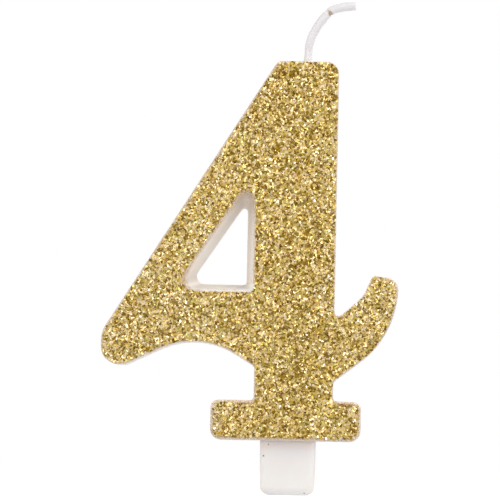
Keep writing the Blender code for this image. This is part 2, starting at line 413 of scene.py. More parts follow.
def peg_material():
    """The peg's denser white: smoother than the digit, faintly cloudy."""
    nodes = Nodes("peg_white")
    color = nodes.ramp(nodes.noise(5.0), [(0.3, PEG_SHADE), (0.7, PEG_LIGHT)])
    # painted shade and reflected gold under the foot
    nodes.link(nodes.mix(nodes.attribute("dust_and_painted_light"), color, PEG_PAINTED_GLOW_COLOR), "Base Color")
    nodes.link(nodes.greys(nodes.noise(0.8, detail=4.0), 0.33, 0.45), "Roughness")
    peel = nodes.noise(0.9, detail=4.0, roughness=0.6)
    nodes.link(nodes.bump(peel, strength=0.25, depth_mm=0.03), "Normal")
    nodes.set(Subsurface_Weight=0.7, Subsurface_Scale=2.0 * MM, IOR=1.46)
    nodes.set(Subsurface_Radius=LIGHT_REACH)
    return nodes.material


def bed_material():
    """Dried glue full of gold dust, seen between the flakes."""
    nodes = Nodes("glitter_bed")
    grain = nodes.noise(0.28, detail=5.0, roughness=0.65)
    color = nodes.ramp(grain, [(0.3, BED_DARK), (0.55, BED_GOLD), (0.75, BED_BRIGHT)])
    nodes.link(color, "Base Color")
    nodes.link(nodes.greys(grain, 0.5, 0.25), "Roughness")
    crumbs = nodes.noise(0.22, detail=4.0, roughness=0.7)
    nodes.link(nodes.bump(crumbs, strength=0.7, depth_mm=0.08), "Normal")
    nodes.set(Metallic=0.85)
    return nodes.material


FLAKE_TONES = {                # linear colour, roughness, share of the flakes
    "pale": ((1.0, 0.85, 0.56), 0.15, 0.19),
    "gold": ((0.87, 0.67, 0.30), 0.16, 0.27),
    "deep": ((0.67, 0.49, 0.135), 0.19, 0.20),
    "amber": ((0.74, 0.50, 0.14), 0.19, 0.10),
    "olive": ((0.65, 0.54, 0.165), 0.19, 0.13),
    "brown": ((0.33, 0.20, 0.022), 0.27, 0.16),
}


def flake_materials():
    """One metallised film for each tone of gold."""
    made = []
    for name, (color, roughness, _) in FLAKE_TONES.items():
        nodes = Nodes("flake_" + name)
        nodes.set(Base_Color=(*color, 1.0), Roughness=roughness, Metallic=1.0)
        made.append(nodes.material)
    return made


def wick_material():
    """Cotton soaked in wax: grey white, streaky along its length, tan where the wax cracked."""
    nodes = Nodes("waxed_cotton")
    nodes.place = nodes.tree.nodes.new("ShaderNodeAttribute").outputs["Vector"]
    nodes.place.node.attribute_name = "rest"
    streak = nodes.noise(0.35, detail=4.0, roughness=0.6, stretch=(1.0, 1.0, 0.12))
    color = nodes.ramp(streak, [(0.3, COTTON_SHADE), (0.65, COTTON_LIGHT)])
    grain = nodes.noise(0.22, detail=3.0, roughness=0.6)
    speckle = nodes.greys(grain, 0.5, 1.0, start=0.42, end=0.58)
    stain = nodes.greys(nodes.attribute("crack"), 0.0, 1.0, start=0.04, end=0.5)
    tan = nodes.mix(nodes.mix(1.0, stain, speckle, "MULTIPLY"), color, STAIN_TAN)
    nodes.link(tan, "Base Color")
    nodes.link(nodes.greys(streak, 0.42, 0.62), "Roughness")
    nodes.link(nodes.bump(streak, strength=0.5, depth_mm=0.04), "Normal")
    nodes.set(IOR=1.44)
    return nodes.material


# ============================== wax ===============================================
EDGE_ROUND = 0.5               # front edge of the casting
BACK_BEVEL = 0.3
COUNTER_FLARE, FLARE_DEPTH = 0.45, 0.4      # the counter opens out at its front edge
PAST_FRONT, PAST_BACK = 0.8, 1.0            # how far its cutter goes on past both faces
FLARE_PAST_FRONT = 0.4                      # how much wider the cutter gets there
COLLAR_SIDES = 24
COLLAR_PROFILE = ((-1.2, 1.9), (-0.1, 1.7), (0.1, 1.22), (0.35, 0.97), (0.6, 0.86))
# (height over the digit's top, radius)
WAX_VOXEL, WAX_SMOOTHING = 0.285, 2
POUR_SINK = 0.38               # how far the poured back sinks in the middle
POUR_RIM = 1.9                 # width of its raised rim
COUNTER_RIM_LESS = 0.6         # how much narrower the rim is round the counter
BACK_NORMAL_FROM, BACK_NORMAL_FADE = 0.6, 0.3   # where a surface starts to count as the back
SWELL_DEPTH, SWELL_SIZE = 0.14, 7.0         # slow waves in the back
PIT_DEPTH, PIT_SIZE, PIT_LEVEL = 0.9, 1.1, 0.62     # pits where noise is over a level
SKIN_DEPTH, SKIN_SIZE = 0.035, 3.0          # unevenness all over

# --- Gold dust on the wax, and painted shade and reflected gold in the counter ----
DUST_AND_SHADE_DEPTH, DUST_AND_SHADE_MOST = 0.9, 1.0    # how far back the tint reaches, and how dense: glue and gold dust by the front edge, painted shade and reflected gold in the counter
SLANT_MORE, APEX_MORE, CORNER_MORE, FLOOR_LESS = 1.2, 4.5, 3.0, 0.7     # shares of that depth: more on the slanted wall, painted shade at the apex and the left corner, less on the floor, which is left lighter as if lit from above
THIN_PAINTED_REFLECTION = 0.11                    # painted reflected gold all over the counter's walls, but for its floor
THIN_RIGHT_MORE, THIN_APEX_MORE = 0.8, 1.2
WALL_BAND = 0.5                     # walls count past the counter's outline, and short of the back
FLOOR_BAND, FLOOR_FROM = 1.3, 5.0   # its floor: how thick, and how far from the left corner
SLANT_BAND, RIGHT_BAND = 2.4, 1.6
APEX_FROM, APEX_FADE = 50.0, 5.0    # painted shade: its narrow top is darker and tan, from this height
CORNER_REACH, CORNER_FADE = 4.0, 2.0


def digit_prism(name):
    """The outer shape, with its front edge rounded and a narrow bevel at the back."""
    rings = []
    for turn in (0, 30, 60, 90):
        angle = math.radians(turn)
        inset = EDGE_ROUND * (1 - math.sin(angle))
        depth = WAX_FRONT + EDGE_ROUND * (1 - math.cos(angle))
        rings.append((depth, inset))
    rings += [(BACK - BACK_BEVEL, 0.0), (BACK, BACK_BEVEL)]
    return lofted(name, [
        [(x, depth, z) for x, z in rounded(moved_in(digit_corners(), inset), PRISM_STEP_DEG)]
        for depth, inset in rings
    ])


def counter_prism(name):
    """The counter's space: it narrows from front to back, and flares at its front edge."""
    lean = COUNTER_DRAFT / (BACK - FRONT)
    wide = moved_in(counter_corners(), -COUNTER_FLARE + lean * (WAX_FRONT - FRONT))
    edge = moved_in(counter_corners(), lean * (WAX_FRONT - FRONT + FLARE_DEPTH))
    narrow = moved_in(counter_corners(), COUNTER_DRAFT + lean * PAST_BACK)
    slope = math.tan(math.radians(COUNTER_SLANT_DEG))
    fill_x = COUNTER_SLANT_FILL / math.sin(math.radians(COUNTER_SLANT_DEG))
    shifts = ((fill_x, 0.0), (0.0, 0.0), (0.0, -fill_x * slope))
    narrow = [(x + dx, z + dz, radius)
              for (x, z, _), (dx, dz), radius in zip(narrow, shifts, COUNTER_BACK_RADII)]
    levels = [(WAX_FRONT - PAST_FRONT, moved_in(wide, -FLARE_PAST_FRONT)), (WAX_FRONT, wide),
              (WAX_FRONT + FLARE_DEPTH, edge), (BACK + PAST_BACK, narrow)]
    return lofted(name, [
        [(x, depth, z) for x, z in rounded(corners, PRISM_STEP_DEG)] for depth, corners in levels
    ])


def wick_collar(name):
    """Wax that climbed a little way up the wick when the digit was cast."""
    rings = []
    for height, radius in COLLAR_PROFILE:
        ring = []
        for i in range(COLLAR_SIDES):
            angle = 2 * math.pi * i / COLLAR_SIDES
            ring.append((WICK_X + radius * math.cos(angle), radius * math.sin(angle), TOP + height))
        rings.append(ring)
    return lofted(name, rings)


def pour_marks(points, normals):
    """How far each vertex of the wax moves in along its normal, in millimetres."""
    flat = points[:, [0, 2]]
    to_rim, _ = nearest_edge(flat, rounded(digit_corners(), COARSE_STEP_DEG))
    to_counter, _ = nearest_edge(flat, rounded(counter_corners(), COARSE_STEP_DEG))
    sunk = ease(np.minimum(to_rim, to_counter + COUNTER_RIM_LESS) / POUR_RIM)
    on_back = np.clip((normals[:, 1] - BACK_NORMAL_FROM) / BACK_NORMAL_FADE, 0.0, 1.0)
    swell = 0.5 + 0.5 * rolling(points, SWELL_SIZE, 1)
    pits = np.clip(rolling(points, PIT_SIZE, 2) - PIT_LEVEL, 0.0, 1.0) * PIT_DEPTH
    back = on_back * (POUR_SINK * sunk + SWELL_DEPTH * swell * sunk + pits)
    everywhere = SKIN_DEPTH * (0.5 + 0.5 * rolling(points, SKIN_SIZE, 3))
    return back + everywhere


def dust_and_shade_shares(points):
    """Glue and gold dust on the wax behind the coat, with painted shade and reflected gold deepest in
    the counter, but hardly on its floor, which is left lighter as if lit from above.
    """
    x, depth, z = points.T
    slant_x = COUNTER_LEFT + (z - COUNTER_BOTTOM) / math.tan(math.radians(COUNTER_SLANT_DEG))
    opening = rounded(moved_in(counter_corners(), -WALL_BAND), COARSE_STEP_DEG)
    walls = is_inside(points[:, [0, 2]], opening) & (depth < BACK - WALL_BAND)
    on_floor = walls & (z < COUNTER_BOTTOM + FLOOR_BAND) & (x > COUNTER_LEFT + FLOOR_FROM)
    on_slant = walls & (np.abs(x - slant_x) < SLANT_BAND)
    on_right = walls & (x > COUNTER_RIGHT - RIGHT_BAND)
    at_apex = walls * ease((z - APEX_FROM) / APEX_FADE)
    in_corner = walls * ease((COUNTER_LEFT + CORNER_REACH - x) / CORNER_FADE)
    reach = DUST_AND_SHADE_DEPTH * (1.0 + SLANT_MORE * on_slant + APEX_MORE * at_apex
                          + CORNER_MORE * in_corner - FLOOR_LESS * on_floor)
    shares = np.clip((reach - (depth - WAX_FRONT)) / reach, 0.0, 1.0) * DUST_AND_SHADE_MOST
    stronger = 1.0 + THIN_RIGHT_MORE * on_right + THIN_APEX_MORE * at_apex
    return np.maximum(shares, THIN_PAINTED_REFLECTION * (walls & ~on_floor) * stronger)


def make_wax():
    """The casting: the digit less its counter, plus the collar, with its poured back sunk in."""
    wax = new_object("wax_casting", digit_prism("wax_casting"))
    boolean(wax, new_object("counter_space", counter_prism("counter_space")), "DIFFERENCE")
    boolean(wax, new_object("wick_collar", wick_collar("wick_collar")), "UNION")
    remeshed(wax, WAX_VOXEL, WAX_SMOOTHING)
    points = coordinates(wax.data) / MM
    normals = vertex_normals(wax.data)
    moved = points - normals * pour_marks(points, normals)[:, None]
    wax.data.vertices.foreach_set("co", (moved * MM).ravel())
    wax.data.update()
    # glue and gold dust by the front edge, with painted shade and reflected gold in the counter
    dust_and_painted_light = wax.data.attributes.new("dust_and_painted_light", "FLOAT", "POINT")
    dust_and_painted_light.data.foreach_set("value", dust_and_shade_shares(points))
    wax.data.materials.append(wax_material())
    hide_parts("wax_body")
    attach(wax, "candle")


# ============================== glitter ===========================================
BOX_MIDDLE = (CAD_LOW[0] + CAD_HIGH[0]) / 2 / MM
BOX_HALF = (CAD_HIGH[0] - CAD_LOW[0]) / 2 / MM
COAT_EDGE = 0.33               # from the wax's outline to the coat, along most of it
FOOT_COAT_EDGE, HOOK_COAT_EDGE, ARM_COAT_EDGE = 0.64, 0.56, 0.44
FOOT_OVER, FOOT_FADE = 0.8, 1.2     # where the wider edges start, and over what they fade in
HOOK_FROM, HOOK_FADE = 16.0, 2.5
ARM_REACH, ARM_FADE = 3.0, 1.5
EDGE_WAVE, EDGE_WAVE_SIZE = 0.06, 2.5
COUNTER_COAT_EDGE = -0.4       # the coat stops outside the counter's front outline
COUNTER_COAT = rounded(moved_in(counter_corners(), COUNTER_COAT_EDGE))
COAT_RIGHT = 20.2              # just past the hook's end
BED_INSET, BED_HOLE_INSET = 0.12, -0.1
BED_OVER, BED_UNDER = 0.1, 0.06     # the glue's thickness over the wax, and in it
RAGGED_STEP, RAGGED_DEPTH, RAGGED_SIZE = 0.3, 0.12, 0.5
FLAKE_SIZE = 0.46              # across the flats of a hexagonal flake
FLAKE_REACH = 0.66 * FLAKE_SIZE     # a little over the largest one's middle to corner
FLAKE_THICKNESS = 0.02
FLAKE_SIDES = 6
FLAKE_SPACING, FLAKE_JITTER = 0.285, 0.45       # the jitter is a share of the spacing
FLAKE_TILT_DEG, FLAKE_TILT_MOST_DEG = 13.0, 30.0
FLAKE_SCALES = (0.85, 1.12)    # smallest and largest
FLAKE_LIFTS = (0.11, 0.22)     # how far in front of the wax their middles are
FLAKE_FRAY = (-0.06, 0.1)      # how unevenly they stop at the coat's edge
HOLE_SETBACK = 0.1             # how far from the wax's edge the coat's inner edge counts as
FRONT_MARGIN = 0.02
FLAKE_GROUPS = 4
EDGE_LEAN = 0.15               # how much the flakes lean out over the rounded edge
STEM_MIDDLE = (STEM_LEFT + STEM_RIGHT) / 2
PALER_AWAY_PAINTED_LIGHT = 0.6               # painted highlight: how much paler the coat is away from the stem
PALER_REACH, PALER_ZERO = 16.0, 0.45    # where that is most, and the share of it that is neutral
PATCH_SIZE, PATCH_GAIN = 1.8, 2.0       # areas where one hue is commoner
GLINT_SIZE, GLINT_GAIN, GLINT_MOST = 1.0, 1.6, 0.6      # areas where pale or brown is commoner


def coat_edge(x, z):
    """The uncoated width beside the outline: more round the foot, on the arm and at the hook's end."""
    foot = (FOOT_COAT_EDGE - COAT_EDGE) * ease((FOOT_TOP + FOOT_OVER - z) / FOOT_FADE)
    hook = (HOOK_COAT_EDGE - COAT_EDGE) * ease((x - HOOK_FROM) / HOOK_FADE)
    arm_x = TOP_LEFT - (TOP - z) / math.tan(math.radians(SLANT_DEG))
    arm = (ARM_COAT_EDGE - COAT_EDGE) * ease((arm_x + ARM_REACH - x) / ARM_FADE)
    wave = EDGE_WAVE * noise.noise(Vector((x / EDGE_WAVE_SIZE, z / EDGE_WAVE_SIZE, 0.0)))
    return COAT_EDGE + foot + hook + arm + wave


def ragged(outline, seed, inset):
    """An outline moved in, with an uneven edge, as glue leaves."""
    made = []
    points = resampled(outline, RAGGED_STEP)
    count = len(points)
    for i, (x, z) in enumerate(points):
        before, after = points[i - 1], points[(i + 1) % count]
        run = Vector((after[0] - before[0], after[1] - before[1])).normalized()
        spot = Vector((x / RAGGED_SIZE, z / RAGGED_SIZE, seed * 3.7))
        shift = inset(x, z) + RAGGED_DEPTH * noise.noise(spot)
        made.append((x - run.y * shift, z + run.x * shift))
    return made


def make_bed():
    """The glue film and its gold dust, with a ragged edge."""
    outer = ragged(DIGIT, 1, lambda x, z: coat_edge(x, z) + BED_INSET)
    hole = ragged(COUNTER_COAT, 2, lambda x, z: BED_HOLE_INSET)
    loops = [outer, hole]
    flat = [Vector((x, z, 0.0)) for loop in loops for x, z in loop]
    triangles = tessellate_polygon([[Vector((x, z, 0.0)) for x, z in loop] for loop in loops])
    count = len(flat)
    near, far = WAX_FRONT - BED_OVER, WAX_FRONT + BED_UNDER
    vertices = [(p.x, near, p.y) for p in flat] + [(p.x, far, p.y) for p in flat]
    faces = [tuple(t) for t in triangles] + [tuple(i + count for i in reversed(t)) for t in triangles]
    start = 0
    for loop in loops:
        for i in range(len(loop)):
            j = (i + 1) % len(loop)
            faces.append((start + i, start + j, start + j + count, start + i + count))
        start += len(loop)
    mesh = mesh_of("glitter_bed", vertices, faces, smooth=False)
    outward(mesh)
    bed = new_object("glitter_bed", mesh, bed_material())
    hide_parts("glue_film")
    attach(bed, "candle")


def flake_places(rng):
    """Jittered places (x, z) inside the coat, with the distance and direction to its near edge."""
    row = FLAKE_SPACING * math.sqrt(3) / 2
    xs = np.arange(ARM_LEFT, COAT_RIGHT, FLAKE_SPACING)
    zs = np.arange(UNDERSIDE, TOP, row)
    grid_x, grid_z = np.meshgrid(xs, zs)
    grid_x = grid_x + (np.arange(len(zs)) % 2)[:, None] * FLAKE_SPACING / 2
    points = np.stack([grid_x.ravel(), grid_z.ravel()], axis=1)
    points += rng.uniform(-FLAKE_JITTER, FLAKE_JITTER, points.shape) * FLAKE_SPACING
    to_rim, rim_way = nearest_edge(points, DIGIT)
    to_hole, hole_way = nearest_edge(points, COUNTER_COAT)
    inside = is_inside(points, DIGIT) & ~is_inside(points, COUNTER_COAT)
    inside &= np.abs(points[:, 0] - BOX_MIDDLE) < BOX_HALF - FLAKE_REACH
    fray = rng.uniform(*FLAKE_FRAY, len(points))
    bare = np.array([coat_edge(x, z) for x, z in points])
    inside &= to_rim > bare + fray
    inside &= to_hole > fray
    near_rim = to_rim < to_hole
    way = np.where(near_rim[:, None], rim_way, hole_way)
    edge = np.where(near_rim, to_rim, to_hole + HOLE_SETBACK)
    return points[inside], edge[inside], way[inside]


def flake_normals(rng, edge, way):
    """Unit normals: towards the front, tilted at random, and leaning out over the rounded edge."""
    count = len(edge)
    tilt = np.radians(np.minimum(rng.rayleigh(FLAKE_TILT_DEG, count), FLAKE_TILT_MOST_DEG))
    around = rng.uniform(0, 2 * math.pi, count)
    normals = np.stack([np.sin(tilt) * np.cos(around), -np.cos(tilt),
                        np.sin(tilt) * np.sin(around)], axis=1)
    lean = EDGE_LEAN * np.clip((EDGE_ROUND - edge) / EDGE_ROUND, 0.0, 1.0)
    normals[:, 0] += lean * way[:, 0]
    normals[:, 2] += lean * way[:, 1]
    return normals / np.linalg.norm(normals, axis=1)[:, None]


def surface_depth(edge):
    """Depth of the wax front at a distance from its edge, over the rounding."""
    short = np.clip(EDGE_ROUND - edge, 0.0, EDGE_ROUND)
    return WAX_FRONT + EDGE_ROUND - np.sqrt(EDGE_ROUND ** 2 - short ** 2)


def flake_mesh(name, centres, normals, spins, sizes):
    """Thin hexagonal plates, one closed body each, with two broad faces and six narrow ones."""
    count = len(centres)
    helper = np.where(np.abs(normals[:, [2]]) < 0.9, [[0.0, 0.0, 1.0]], [[1.0, 0.0, 0.0]])
    side = np.cross(normals, helper)
    side /= np.linalg.norm(side, axis=1)[:, None]
    other = np.cross(normals, side)
    corners = []
    for level in (1, -1):
        for i in range(FLAKE_SIDES):
            angle = spins + i * math.pi / 3
            reach = sizes / math.sqrt(3)
            corner = centres + side * (reach * np.cos(angle))[:, None]
            corner = corner + other * (reach * np.sin(angle))[:, None]
            corners.append(corner + normals * level * FLAKE_THICKNESS / 2)
    vertices = np.stack(corners, axis=1).reshape(-1, 3)
    sides, both = FLAKE_SIDES, 2 * FLAKE_SIDES
    pattern = [tuple(range(sides)), tuple(reversed(range(sides, both)))]
    pattern += [(i, i + sides, (i + 1) % sides + sides, (i + 1) % sides) for i in range(sides)]
    faces = [tuple(both * flake + v for v in face) for flake in range(count) for face in pattern]
    return mesh_of(name, vertices, faces, smooth=False)


def tone_indices(rng, centres):
    """A tone for each flake: olive and amber, and pale and brown, gather in patches, and pale is
    commoner away from the stem as a painted highlight.
    """
    names = list(FLAKE_TONES)
    shares = np.array([[share for _, _, share in FLAKE_TONES.values()]]).repeat(len(centres), axis=0)
    patch = np.clip(rolling(centres, PATCH_SIZE, 5) * PATCH_GAIN, -1.0, 1.0)
    shares[:, names.index("olive")] *= 1.0 + patch
    shares[:, names.index("amber")] *= 1.0 - patch
    glint = np.clip(rolling(centres, GLINT_SIZE, 6) * GLINT_GAIN, -GLINT_MOST, GLINT_MOST)
    # painted highlight: pale flakes commoner away from the stem, brown ones nearer it
    away = np.clip(np.abs(centres[:, 0] - STEM_MIDDLE) / PALER_REACH, 0.0, 1.0)
    brightness = glint + PALER_AWAY_PAINTED_LIGHT * (away - PALER_ZERO)
    shares[:, names.index("pale")] *= 1.0 + brightness
    shares[:, names.index("brown")] *= 1.0 - brightness
    edges = np.cumsum(shares, axis=1)
    draws = rng.uniform(0.0, 1.0, len(centres)) * edges[:, -1]
    return (draws[:, None] > edges).sum(axis=1)


def make_flake_object(name, rng, centres, normals, materials, scale=1.0):
    """One piece of many flakes, each of its own size, spin and tone."""
    count = len(centres)
    sizes = FLAKE_SIZE * scale * rng.uniform(*FLAKE_SCALES, count)
    spins = rng.uniform(0, math.pi / 3, count)
    mesh = flake_mesh(name, centres, normals, spins, sizes)
    obj = new_object(name, mesh, *materials)
    tones = np.repeat(tone_indices(rng, centres), FLAKE_SIDES + 2).astype(np.int32)
    mesh.polygons.foreach_set("material_index", tones)
    mesh.update()
    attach(obj, "candle")
    return obj


def make_flakes(materials):
    """The coat: tens of thousands of flakes, in groups so that no mesh is huge."""
    rng = np.random.default_rng(SEED)
    places, edge, way = flake_places(rng)
    normals = flake_normals(rng, edge, way)
    lift = rng.uniform(*FLAKE_LIFTS, len(places))
    depth = surface_depth(edge) - lift
    reach = FLAKE_REACH * np.sqrt(1 - normals[:, 1] ** 2)
    depth = np.maximum(depth, FRONT + FRONT_MARGIN + reach)
    centres = np.stack([places[:, 0], depth, places[:, 1]], axis=1)
    order = np.argsort(places[:, 1], kind="stable")
    for group, members in enumerate(np.array_split(order, FLAKE_GROUPS)):
        name = f"glitter_flakes_{group + 1}"
        flakes = make_flake_object(name, rng, centres[members], normals[members], materials)
        if group == 0:
            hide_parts("glitter_layer")


SIDE_STRAYS, COUNTER_STRAYS = 60, 34
STRAY_REACH, STRAY_MOST = 0.9, 8.5      # how quickly they thin out behind the front edge, and the end
STRAY_SUNK, STRAY_TILT, STRAY_SCALE = 0.05, 0.06, 0.6
WALL_STEP = 0.5
PEG_STRAYS = ((-3.6, -3.2, 9.3), (-4.45, -3.2, 7.2), (3.2, -2.9, 0.5), (4.2, 3.2, 8.8),
              (-1.1, 3.2, 9.1))


def wall_places(rng, corners_at, count, outwards):
    """Random places and normals on a side wall, crowded towards the front edge."""
    centres, normals = [], []
    for _ in range(count):
        depth = WAX_FRONT + EDGE_ROUND + min(rng.exponential(STRAY_REACH), STRAY_MOST)
        outline = resampled(rounded(corners_at(depth), COARSE_STEP_DEG), WALL_STEP)
        i = int(rng.integers(len(outline)))
        (ax, az), (bx, bz) = outline[i - 1], outline[i]
        run = Vector((bx - ax, bz - az)).normalized()
        centres.append((bx, depth, bz))
        normals.append((run.y * outwards, 0.0, -run.x * outwards))
    return np.array(centres), np.array(normals)


def counter_at(depth):
    """The counter wall's outline at a depth."""
    return moved_in(counter_corners(), COUNTER_DRAFT * (depth - FRONT) / (BACK - FRONT))


def make_strays(materials):
    """Loose flakes that stuck to the sides, in the counter and on the peg."""
    rng = np.random.default_rng(SEED + 1)
    peg_normals = [(0.0, math.copysign(1.0, y), 0.0) for _, y, _ in PEG_STRAYS]
    groups = [
        wall_places(rng, lambda depth: moved_in(digit_corners(), STRAY_SUNK), SIDE_STRAYS, 1.0),
        wall_places(rng, counter_at, COUNTER_STRAYS, -1.0),
        (np.array(PEG_STRAYS), np.array(peg_normals)),
    ]
    centres = np.concatenate([group[0] for group in groups])
    normals = np.concatenate([group[1] for group in groups])
    normals = normals + rng.normal(0.0, STRAY_TILT, normals.shape)
    normals /= np.linalg.norm(normals, axis=1)[:, None]
    make_flake_object("glitter_strays", rng, centres, normals, materials, STRAY_SCALE)


# ============================== peg ===============================================
PEG_WIDTH_TOP, PEG_WIDTH_TIP, PEG_THICKNESS = 10.3, 10.1, 6.4
PEG_TIP_ROUND, PEG_EDGE_ROUND = 1.75, 1.1
PEG_TIP_THINNER = 1.2          # times the rounding: how much thinner it is at its very tip
PEG_STEPS, PEG_STEP_DEG = 8, 10.0
PEG_LAP = 0.1                  # how far its shoulder goes up into the foot
TENON, TENON_HEIGHT = (7.0, 3.6, 0.7), 6.0  # width, thickness and corner radius
PEG_SHARP_DEG = 40.0
PEG_PAINTED_GLOW_FROM, PEG_PAINTED_GLOW_MOST = 7.6, 0.32    # painted shade and reflected gold at the top of the peg, under the foot, from this height


def peg_ring(width, thickness, radius, z):
    """A rounded rectangle at a height."""
    half_w, half_t = width / 2, thickness / 2
    corners = [(-half_w, -half_t, radius), (half_w, -half_t, radius),
               (half_w, half_t, radius), (-half_w, half_t, radius)]
    return [(x, y, z) for x, y in rounded(corners, PEG_STEP_DEG)]


def make_peg():
    """The flat peg, with its rounded tip and a tenon that runs up into the wax."""
    rings = []
    for step in range(PEG_STEPS + 1):
        angle = math.radians(90.0 * step / PEG_STEPS)
        narrower = PEG_TIP_ROUND * (1.0 - math.sin(angle))
        thickness = PEG_THICKNESS - PEG_TIP_THINNER * narrower
        z = PEG_TIP_ROUND * (1.0 - math.cos(angle))
        rings.append(peg_ring(PEG_WIDTH_TIP - 2 * narrower, thickness, PEG_EDGE_ROUND, z))
    for step in range(1, PEG_STEPS + 1):
        share = step / PEG_STEPS
        width = PEG_WIDTH_TIP + (PEG_WIDTH_TOP - PEG_WIDTH_TIP) * share
        z = PEG_TIP_ROUND + (UNDERSIDE + PEG_LAP - PEG_TIP_ROUND) * share
        rings.append(peg_ring(width, PEG_THICKNESS, PEG_EDGE_ROUND, z))
    rings.append(peg_ring(*TENON, UNDERSIDE + PEG_LAP))
    rings.append(peg_ring(*TENON, UNDERSIDE + TENON_HEIGHT))
    peg = new_object("peg", lofted("peg", rings), peg_material())
    peg.data.set_sharp_from_angle(angle=math.radians(PEG_SHARP_DEG))
    # painted shade and reflected gold, strongest at the top under the foot
    dust_and_painted_light = peg.data.attributes.new("dust_and_painted_light", "FLOAT", "POINT")
    heights = coordinates(peg.data)[:, 2] / MM
    shares = PEG_PAINTED_GLOW_MOST * ease((heights - PEG_PAINTED_GLOW_FROM) / (UNDERSIDE - PEG_PAINTED_GLOW_FROM))
    dust_and_painted_light.data.foreach_set("value", shares)
    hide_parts("cake_peg")
    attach(peg, "candle")


# ============================== wick ==============================================
WICK_SIDES = 72
WICK_CEILING = CAD_HIGH[2] / MM
WICK_STEP, HIDDEN_STEP = 0.06, 1.0      # length between its rings, where it shows and in the wax
SHOWN_FROM = -0.6              # where the close rings start, a little inside the wax
WICK_RADII = ((0.0, 0.84), (0.45, 0.78), (1.3, 0.72), (3.5, 0.76), (6.5, 0.79), (9.0, 0.785),
              (10.2, 0.75), (11.2, 0.79), (13.0, 0.80), (15.0, 0.78))   # by length from the wax
NECK_STEPS, TIP_STEPS = 120, 80
BRAID_STRANDS, BRAID_PITCH, BRAID_RELIEF, BRAID_MEAN = 3, 2.1, 0.036, 0.35
LUMP_LENGTH = 0.75             # the length that counts as one radius, in the lumps' noise
LUMPS = ((0.028, 1.3), (0.010, 4.0))    # height, and how fine
CRACK_DEPTH, CRACK_HALF, CRACK_TURN = 0.24, 0.46, 0.75
CRACK_RAGGED = 0.12            # how far its line wanders to either side of the kink
CRACK_OUTER_HALF, CRACK_INNER_MORE = 0.45, 0.9      # shares of CRACK_HALF
CRACK_OUTER_DEPTH, CRACK_INNER_DEPTH = 0.16, 0.84   # shares of CRACK_DEPTH
CUT_SCALES = (0.97, 0.9, 0.78, 0.6, 0.4, 0.2, 0.06)     # rings over the cut end, from its rim inwards
FIBRE_LIFT, FIBRE_FINENESS = 0.16, 5
PLUG_LENGTH, PLUG_SCALE = 0.3, 0.85     # the lower length's end, hidden in the upper one
JOIN_SHARE = 0.5               # where the two lengths meet, on the way to the kink
WICK_SHARP_DEG = 50.0


def bezier(start, control_a, control_b, end, t):
    """A place on a cubic curve, at a share of the way."""
    s = 1.0 - t
    return (s ** 3 * Vector(start) + 3 * s * s * t * Vector(control_a)
            + 3 * s * t * t * Vector(control_b) + t ** 3 * Vector(end))


class WickPath:
    """The wick's centre line by length from the top of the wax."""

    def __init__(self):
        exit_point = (WICK_X, EXIT_HINGE_Z)
        points = [Vector((WICK_X, WICK_FOOT_Z)), Vector(exit_point)]
        for i in range(1, NECK_STEPS + 1):
            points.append(bezier(exit_point, *NECK_PULLS, KINK, i / NECK_STEPS))
        kink = len(points) - 1
        for i in range(1, TIP_STEPS + 1):
            points.append(bezier(KINK, *TIP_PULLS, WICK_END, i / TIP_STEPS))
        steps = [0.0] + [(b - a).length for a, b in zip(points, points[1:])]
        self.points = np.array(points)
        self.lengths = np.cumsum(steps) - (TOP - WICK_FOOT_Z)
        self.kink = self.lengths[kink]
        self.end = self.lengths[-1]
        self.foot = self.lengths[0]

    def at(self, length):
        """The place (x, z) at a length along the wick."""
        return np.array([np.interp(length, self.lengths, self.points[:, 0]),
                         np.interp(length, self.lengths, self.points[:, 1])])

    def along(self, length, reach=0.3):
        """The unit direction (x, z) at a length, evened out over a reach to either side."""
        run = self.at(min(length + reach, self.end)) - self.at(length - reach)
        return run / np.hypot(*run)


def wick_radius(path, length, angle):
    """The radius at a length and an angle; the angle is 0 on the side under the bend."""
    radius = np.interp(length, *zip(*WICK_RADII))
    wave = 2 * math.pi * length / BRAID_PITCH
    braid = max(math.cos(BRAID_STRANDS * angle + wave), math.cos(BRAID_STRANDS * angle - wave))
    relief = BRAID_RELIEF * (0.5 * braid - BRAID_MEAN)
    spot = Vector((math.cos(angle), math.sin(angle), length / LUMP_LENGTH))
    lumps = sum(height * noise.noise(spot * fineness) for height, fineness in LUMPS)
    return radius + relief + lumps - CRACK_DEPTH * crack(path, length, angle)


def crack(path, length, angle):
    """How far open the cracked wax at the kink is: a wedge on the inner side, 0 to 1."""
    inner = max(0.0, math.cos(angle + CRACK_TURN))
    spot = Vector((math.cos(angle), math.sin(angle), 3.0)) * 2
    place = path.kink + CRACK_RAGGED * noise.noise(spot)
    reach = CRACK_HALF * (CRACK_OUTER_HALF + CRACK_INNER_MORE * inner)
    groove = max(0.0, 1.0 - abs(length - place) / reach)
    return groove * (CRACK_OUTER_DEPTH + CRACK_INNER_DEPTH * inner ** 1.5)


def wick_ring(path, length, scale=1.0, lift=0.0):
    """A ring of points, and the crack's depth at each."""
    centre = path.at(length)
    run = path.along(length)
    under = np.array([run[1], -run[0]])
    ring, cracks = [], []
    for i in range(WICK_SIDES):
        angle = 2 * math.pi * i / WICK_SIDES
        radius = wick_radius(path, length, angle) * scale
        spot = Vector((radius * math.cos(angle), radius * math.sin(angle), 0)) * FIBRE_FINENESS
        place = centre + under * radius * math.cos(angle) + run * (lift * noise.noise(spot))
        ring.append((place[0], radius * math.sin(angle), min(place[1], WICK_CEILING)))
        cracks.append(crack(path, length, angle))
    return ring, cracks


